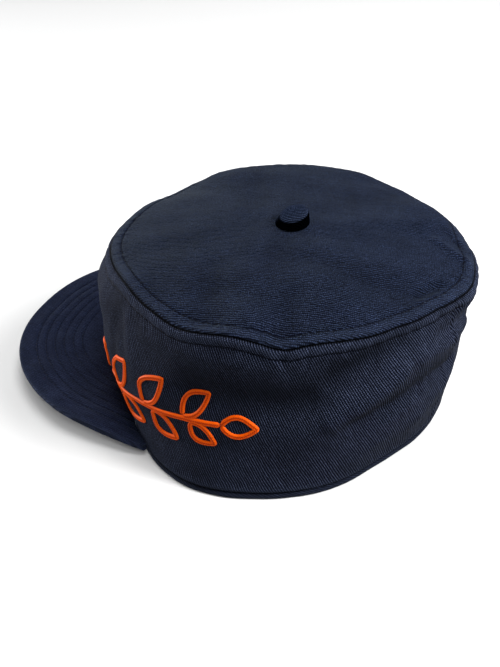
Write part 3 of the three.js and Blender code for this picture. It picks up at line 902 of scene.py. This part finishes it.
def surface_row(make, deg, *ways):
    """A path round the crown, with the surface's outward directions there."""
    here = make(deg, *ways)
    ahead = make(deg + 0.1, *ways) - here
    up = make(deg, *(w + 0.05 for w in ways)) - here
    normal = np.cross(ahead, up)
    normal /= np.linalg.norm(normal, axis=1)[:, None]
    return here, normal


def side_surface(deg, down):
    z = seam_height(deg) - down
    return crown_point(deg, side_radius(deg, z), z)


def disc_surface(deg, inset):
    rim = plain_radius(deg, seam_height(deg))
    radius = rim - inset
    return crown_point(deg, radius, disc_height(deg, radius, rim) + GAP / 2)


def make_crown_stitches():
    """The two rows of stitches beside the crown's seam."""
    deg = np.linspace(0, 360, 1400)
    side_path, side_normal = surface_row(side_surface, deg, STITCH_INSET)
    disc_path, disc_normal = surface_row(disc_surface, deg, STITCH_INSET)
    if (side_normal[0] @ [0, -1, 0]) < 0:
        side_normal = -side_normal
    if disc_normal[0][2] < 0:
        disc_normal = -disc_normal
    return (
        joined_rows("side_topstitch", [(side_path, side_normal)], NAVY_THREAD),
        joined_rows("disc_topstitch", [(disc_path, disc_normal)], NAVY_THREAD),
    )


def make_peak_stitches(peak):
    """Rows of stitches that follow the rim, laid on the peak's upper surface."""
    mesh = peak.data
    tree = BVHTree.FromPolygons([v.co for v in mesh.vertices], [tuple(p.vertices) for p in mesh.polygons])
    rim = peak_rim(np.linspace(-0.985, 0.985, 900))[:, :2]
    ahead = np.gradient(rim, axis=0)
    inward = np.stack([-ahead[:, 1], ahead[:, 0]], -1)
    inward /= np.linalg.norm(inward, axis=1)[:, None]
    if inward[450][1] < 0:
        inward = -inward
    rows = []
    for number in range(PEAK_ROW_COUNT):
        line = rim + inward * (PEAK_ROW_FIRST + PEAK_ROW_STEP * number)
        keep = rim_distance(line) > PEAK_ROW_FIRST + PEAK_ROW_STEP * number - 0.3
        path, normals = [], []
        for (x, y), good in zip(line, keep):
            hit = tree.ray_cast(Vector((x * MM, y * MM, 0.1)), Vector((0, 0, -1))) if good else (None,) * 4
            if hit[0] is not None and hit[1].z > 0.5:
                path.append(np.array(hit[0]) / MM)
                normals.append(np.array(hit[1]))
        rows.append((np.array(path), np.array(normals)))
    joined_rows("peak_topstitch", rows, PEAK_THREAD)


# Embroidery: a laurel branch on each side of the front, in satin stitch

LINE_WIDTH = 2.5
LINE_HEIGHT = 1.0
THREAD_PITCH = 0.5


def embroidered_line(path):
    """One satin-stitched line on the side band: a raised cord of threads laid across it."""
    steps = np.linalg.norm(np.diff(path, axis=0), axis=1)
    run = np.concatenate([[0], np.cumsum(steps)])
    count = max(8, int(run[-1] / (THREAD_PITCH / 2)))
    count += count % 2
    at = np.linspace(0, run[-1], count)
    line = np.stack([np.interp(at, run, path[:, k]) for k in range(2)], -1)
    ahead = np.gradient(line, axis=0)
    ahead /= np.linalg.norm(ahead, axis=1)[:, None]
    across = np.stack([-ahead[:, 1], ahead[:, 0]], -1)
    draw = np.random.default_rng(int(abs(path[0, 0]) * 100) + 7)
    ends = np.minimum(at, run[-1] - at)
    taper = np.sqrt(np.clip(ends / 1.4, 0.12, 1))
    width = LINE_WIDTH * taper * (1 + draw.normal(0, 0.03, count))
    offset = np.linspace(-1, 1, 13)
    high = LINE_HEIGHT * (0.82 + 0.18 * (np.arange(count) % 2)) * taper
    place = line[:, None, :] + across[:, None, :] * (offset[None, :, None] * width[:, None, None] / 2)
    deg = np.degrees(place[..., 0] / MEAN_RADIUS)
    z = place[..., 1]
    # The threads go in along both edges and meet in the middle, where they dip.
    ply = (np.arange(count) // 2 % 2)[:, None]
    dip = bell(offset[None, :] - 0.12 * (2 * ply - 1), 0.26)
    raised = high[:, None] * (np.sqrt(1 - 0.93 * offset ** 2)[None, :] - 0.34 * dip)
    radius = side_radius(deg, z) + raised
    upper = crown_point(deg, radius, z)
    lower = crown_point(deg, side_radius(deg, z) - 0.5, z)[:, ::-1]
    section = np.concatenate([upper, lower], 1)
    size = section.shape[1]
    i, j = np.meshgrid(np.arange(count - 1), np.arange(size), indexing="ij")
    m = (j + 1) % size
    faces = np.stack([i * size + j, (i + 1) * size + j, (i + 1) * size + m, i * size + m], -1).reshape(-1, 4)
    half = size // 2
    caps = []
    for first in (0, (count - 1) * size):
        a = np.arange(half - 1)
        cap = np.stack([first + a, first + a + 1, first + size - 2 - a, first + size - 1 - a], -1)
        caps.append(cap if first else cap[:, ::-1])
    # Painted shade in the dip along the middle of each line.
    painted_shade = np.concatenate([dip, 0 * dip], 1)
    return section.reshape(-1, 3), np.concatenate([faces, *caps]), painted_shade.ravel()


STEM = [(10, 17), (34, 20), (62, 26), (92, 33), (122, 38), (148, 40)]  # mm from the front, height
LEAVES = [
    # mm from the front, side of the stem, length, lean in degrees
    ( 26,  1, 21, 52),
    ( 32, -1, 15, 30),
    ( 50,  1, 24, 50),
    ( 56, -1, 18, 34),
    ( 76,  1, 24, 48),
    ( 82, -1, 19, 36),
    (102,  1, 22, 46),
    (108, -1, 18, 38),
    (127,  1, 18, 42),
    (131, -1, 15, 38),
    (148,  0, 17,  0),
]


def stem_at(u):
    """The stem's height at a distance from the front, on a softened line."""
    us, vs = zip(*STEM)
    fine = np.linspace(us[0], us[-1], 60)
    rough = np.interp(fine, us, vs)
    soft = np.convolve(np.pad(rough, 8, mode="edge"), np.ones(17) / 17, "valid")
    return np.interp(u, fine, soft)


def leaf_outline(u, side, length, lean):
    """A pointed leaf, as one line that starts and ends on the stem."""
    slope = math.degrees(math.atan2(float(stem_at(u + 2) - stem_at(u - 2)), 4))
    heading = math.radians(slope + side * lean)
    t = np.linspace(0, 1, 40)
    bulge = 0.27 * length * np.sin(math.pi * t ** 0.85) ** 0.9
    bow = side * 0.07 * length * np.sin(math.pi * t)
    outward = np.stack([t * length, bulge + bow], -1)
    homeward = np.stack([t[::-1] * length, -bulge[::-1] + bow[::-1]], -1)
    loop = np.concatenate([outward, homeward[1:]])
    cos, sin = math.cos(heading), math.sin(heading)
    turned = loop @ np.array([[cos, sin], [-sin, cos]])
    start = np.array([u, float(stem_at(u))]) + np.array([cos, sin]) * (2.2 if side else 0.5)
    return turned + start


def make_embroidery():
    """The two laurel branches, each one piece of satin-stitched lines."""
    branches = []
    for name, mirror in (("laurel_left", 1), ("laurel_right", -1)):
        points, faces, dips, base = [], [], [], 0
        u = np.linspace(STEM[0][0], STEM[-1][0], 300)
        lines = [np.stack([u, stem_at(u)], -1)] + [leaf_outline(*leaf) for leaf in LEAVES]
        for line in lines:
            line = line * np.array([mirror, 1])
            p, f, dip = embroidered_line(line)
            points.append(p)
            faces.append(f + base)
            dips.append(dip)
            base += len(p)
        made = new_object(name, np.concatenate(points), np.concatenate(faces), painted_shade=np.concatenate(dips))
        branches.append(finish_piece(made, None, ORANGE_THREAD))
    return branches


side_piece = make_side()
disc_piece = make_disc()
band_piece = make_band()
make_button()
peak_piece = make_peak()
side_stitches, disc_stitches = make_crown_stitches()
make_peak_stitches(peak_piece)
laurels = make_embroidery()


# Floor, light and camera

def make_floor():
    size = 6.0
    mesh = bpy.data.meshes.new("floor")
    mesh.from_pydata([(-size, -size, 0), (size, -size, 0), (size, size, 0), (-size, size, 0)], [], [(0, 1, 2, 3)])
    floor = bpy.data.objects.new("floor", mesh)
    bpy.context.scene.collection.objects.link(floor)
    tree = Tree("pale floor")
    shader = tree.add("ShaderNodeBsdfPrincipled", {
        "Base Color": (0.5, 0.5, 0.5, 1), "Roughness": 0.9, "Specular IOR Level": 0.1,
    })
    output = tree.add("ShaderNodeOutputMaterial")
    tree.links.new(shader.outputs[0], output.inputs[0])
    mesh.materials.append(tree.material)


LIGHTS = [
    # name, place and size in metres, power in watts
    ("key", (0.9, 0.6, 1.5), 0.5, 11),
    ("overhead", (0.05, 0.45, 1.7), 0.9, 31),
    ("far side", (-1.5, -0.5, 0.7), 0.7, 5),
    ("back", (-0.1, 1.4, 1.15), 0.6, 62),
    ("front", (-0.1, -1.6, 0.2), 0.6, 52),
]


def area_light(name, place, size, power, target=(0, 0.03, 0.04)):
    light = bpy.data.lights.new(name, "AREA")
    light.shape = "DISK"
    light.size = size
    light.energy = power
    made = bpy.data.objects.new(name, light)
    made.location = place
    aim = Vector(target) - Vector(place)
    made.rotation_euler = aim.to_track_quat("-Z", "Y").to_euler()
    bpy.context.scene.collection.objects.link(made)


def make_light():
    world = bpy.data.worlds.new("studio")
    world.use_nodes = True
    background = world.node_tree.nodes["Background"]
    background.inputs[0].default_value = (0.93, 0.96, 1.0, 1)
    background.inputs[1].default_value = 0.1
    bpy.context.scene.world = world
    for light in LIGHTS:
        area_light(*light)


def make_camera():
    """The camera that the photograph was taken with, fitted to the cap's outline in it."""
    eye = Vector((322.7, 114.9 + AXIS_Y, 274.9)) * MM
    look = Vector((-0.7462, -0.3163, -0.5858)).normalized()
    up = Vector((-0.5633, -0.1691, 0.8088))
    right = look.cross(up).normalized()
    up = right.cross(look)
    focal_pixels, picture_height = 755.9, 667
    data = bpy.data.cameras.new("camera")
    data.sensor_width = 36
    data.lens = 36 * focal_pixels / picture_height
    data.clip_start = 0.01
    camera = bpy.data.objects.new("camera", data)
    camera.matrix_world = Matrix((
        (right.x, up.x, -look.x, eye.x),
        (right.y, up.y, -look.y, eye.y),
        (right.z, up.z, -look.z, eye.z),
        (0, 0, 0, 1),
    ))
    bpy.context.scene.collection.objects.link(camera)
    bpy.context.scene.camera = camera


make_floor()
make_light()
make_camera()
bpy.context.scene.view_settings.view_transform = "Standard"
